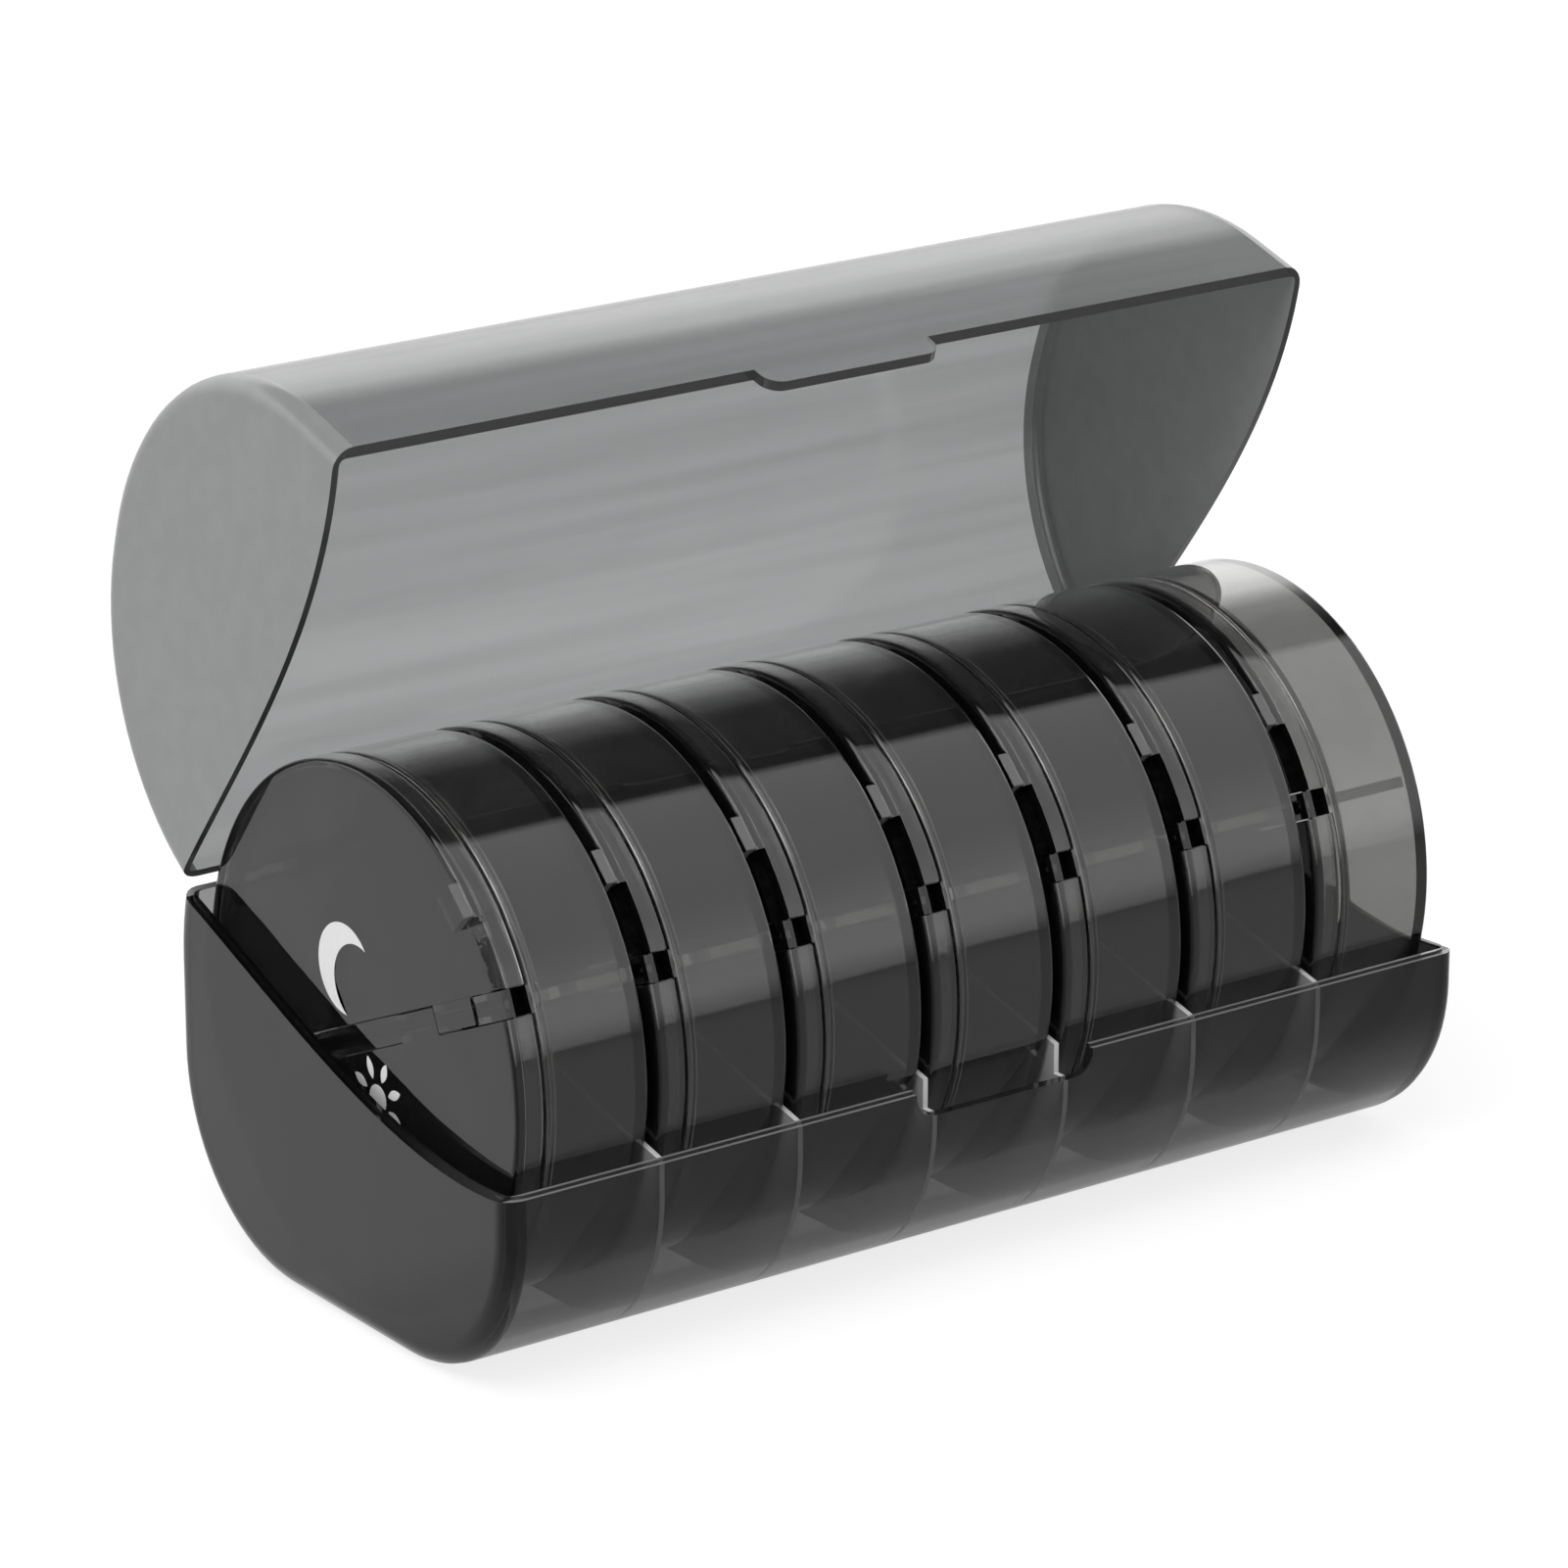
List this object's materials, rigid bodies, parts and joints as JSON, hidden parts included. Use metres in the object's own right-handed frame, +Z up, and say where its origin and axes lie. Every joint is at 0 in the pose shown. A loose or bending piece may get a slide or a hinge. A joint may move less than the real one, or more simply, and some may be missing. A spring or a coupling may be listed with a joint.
{
  "type": "pill organizer",
  "caption": "weekly pill organiser: a hinged clear plastic case with a row of round lift-out boxes, each with a PM and an AM compartment under its own flap",
  "frame": {"origin": "Middle of the flat underside of the case, on the table: half way along the row of boxes and in line with the boxes' common centre line.", "axes": "+X runs along the row of boxes, from the first box to the seventh; +Y points to the rear, where the lid is hinged; +Z is up."},
  "size_m": [0.1282, 0.0777, 0.1001],
  "materials": {
    "case_base": "polished smoke-grey transparent plastic, dark tint",
    "case_lid": "polished smoke-grey transparent plastic",
    "box": "polished smoke-grey transparent plastic",
    "flap": "polished smoke-grey transparent plastic with white printed marks",
    "steel": "plain drawn steel wire"
  },
  "bodies": {
    "case": {"case_base": "case_base", "hinge_pin_left": "steel", "hinge_pin_right": "steel"},
    "lid": {"case_lid": "case_lid"},
    "box_1": {"day_box_1": "box", "flap_rod_1": "steel"},
    "pm_1": {"pm_flap_1": "flap"},
    "am_1": {"am_flap_1": "flap"},
    "box_2": {"day_box_2": "box", "flap_rod_2": "steel"},
    "pm_2": {"pm_flap_2": "flap"},
    "am_2": {"am_flap_2": "flap"},
    "box_3": {"day_box_3": "box", "flap_rod_3": "steel"},
    "pm_3": {"pm_flap_3": "flap"},
    "am_3": {"am_flap_3": "flap"},
    "box_4": {"day_box_4": "box", "flap_rod_4": "steel"},
    "pm_4": {"pm_flap_4": "flap"},
    "am_4": {"am_flap_4": "flap"},
    "box_5": {"day_box_5": "box", "flap_rod_5": "steel"},
    "pm_5": {"pm_flap_5": "flap"},
    "am_5": {"am_flap_5": "flap"},
    "box_6": {"day_box_6": "box", "flap_rod_6": "steel"},
    "pm_6": {"pm_flap_6": "flap"},
    "am_6": {"am_flap_6": "flap"},
    "box_7": {"day_box_7": "box", "flap_rod_7": "steel"},
    "pm_7": {"pm_flap_7": "flap"},
    "am_7": {"am_flap_7": "flap"}
  },
  "joints": [
    {"name": "lid_hinge", "type": "hinge", "parent": "case", "child": "lid", "pos_m": [0, 0.03146, 0.0405], "axis": [-1, 0, 0], "range_deg": [-73, 22]},
    {"name": "box_1_lift", "type": "slide", "parent": "case", "child": "box_1", "axis": [0, -0.515, 0.8572], "range_m": [0, 0.045]},
    {"name": "pm_1_hinge", "type": "hinge", "parent": "box_1", "child": "pm_1", "pos_m": [-0.05955, 0, 0.0315], "axis": [0, -0.9157, 0.4019], "range_deg": [0, 5]},
    {"name": "am_1_hinge", "type": "hinge", "parent": "box_1", "child": "am_1", "pos_m": [-0.05955, 0, 0.0315], "axis": [0, 0.9157, -0.4019], "range_deg": [0, 2.5]},
    {"name": "box_2_lift", "type": "slide", "parent": "case", "child": "box_2", "axis": [0, -0.515, 0.8572], "range_m": [0, 0.045]},
    {"name": "pm_2_hinge", "type": "hinge", "parent": "box_2", "child": "pm_2", "pos_m": [-0.04185, 0, 0.0315], "axis": [0, -0.9157, 0.4019], "range_deg": [0, 1.4]},
    {"name": "am_2_hinge", "type": "hinge", "parent": "box_2", "child": "am_2", "pos_m": [-0.04185, 0, 0.0315], "axis": [0, 0.9157, -0.4019], "range_deg": [0, 0.8]},
    {"name": "box_3_lift", "type": "slide", "parent": "case", "child": "box_3", "axis": [0, -0.515, 0.8572], "range_m": [0, 0.045]},
    {"name": "pm_3_hinge", "type": "hinge", "parent": "box_3", "child": "pm_3", "pos_m": [-0.02415, 0, 0.0315], "axis": [0, -0.9157, 0.4019], "range_deg": [0, 1.4]},
    {"name": "am_3_hinge", "type": "hinge", "parent": "box_3", "child": "am_3", "pos_m": [-0.02415, 0, 0.0315], "axis": [0, 0.9157, -0.4019], "range_deg": [0, 0.8]},
    {"name": "box_4_lift", "type": "slide", "parent": "case", "child": "box_4", "axis": [0, -0.515, 0.8572], "range_m": [0, 0.045]},
    {"name": "pm_4_hinge", "type": "hinge", "parent": "box_4", "child": "pm_4", "pos_m": [-0.00645, 0, 0.0315], "axis": [0, -0.9157, 0.4019], "range_deg": [0, 1.4]},
    {"name": "am_4_hinge", "type": "hinge", "parent": "box_4", "child": "am_4", "pos_m": [-0.00645, 0, 0.0315], "axis": [0, 0.9157, -0.4019], "range_deg": [0, 0.8]},
    {"name": "box_5_lift", "type": "slide", "parent": "case", "child": "box_5", "axis": [0, -0.515, 0.8572], "range_m": [0, 0.045]},
    {"name": "pm_5_hinge", "type": "hinge", "parent": "box_5", "child": "pm_5", "pos_m": [0.01125, 0, 0.0315], "axis": [0, -0.9157, 0.4019], "range_deg": [0, 1.4]},
    {"name": "am_5_hinge", "type": "hinge", "parent": "box_5", "child": "am_5", "pos_m": [0.01125, 0, 0.0315], "axis": [0, 0.9157, -0.4019], "range_deg": [0, 0.8]},
    {"name": "box_6_lift", "type": "slide", "parent": "case", "child": "box_6", "axis": [0, -0.515, 0.8572], "range_m": [0, 0.045]},
    {"name": "pm_6_hinge", "type": "hinge", "parent": "box_6", "child": "pm_6", "pos_m": [0.02895, 0, 0.0315], "axis": [0, -0.9157, 0.4019], "range_deg": [0, 1.4]},
    {"name": "am_6_hinge", "type": "hinge", "parent": "box_6", "child": "am_6", "pos_m": [0.02895, 0, 0.0315], "axis": [0, 0.9157, -0.4019], "range_deg": [0, 0.8]},
    {"name": "box_7_lift", "type": "slide", "parent": "case", "child": "box_7", "axis": [0, -0.515, 0.8572], "range_m": [0, 0.045]},
    {"name": "pm_7_hinge", "type": "hinge", "parent": "box_7", "child": "pm_7", "pos_m": [0.04665, 0, 0.0315], "axis": [0, -0.9157, 0.4019], "range_deg": [0, 1.4]},
    {"name": "am_7_hinge", "type": "hinge", "parent": "box_7", "child": "am_7", "pos_m": [0.04665, 0, 0.0315], "axis": [0, 0.9157, -0.4019], "range_deg": [0, 0.8]}
  ]
}
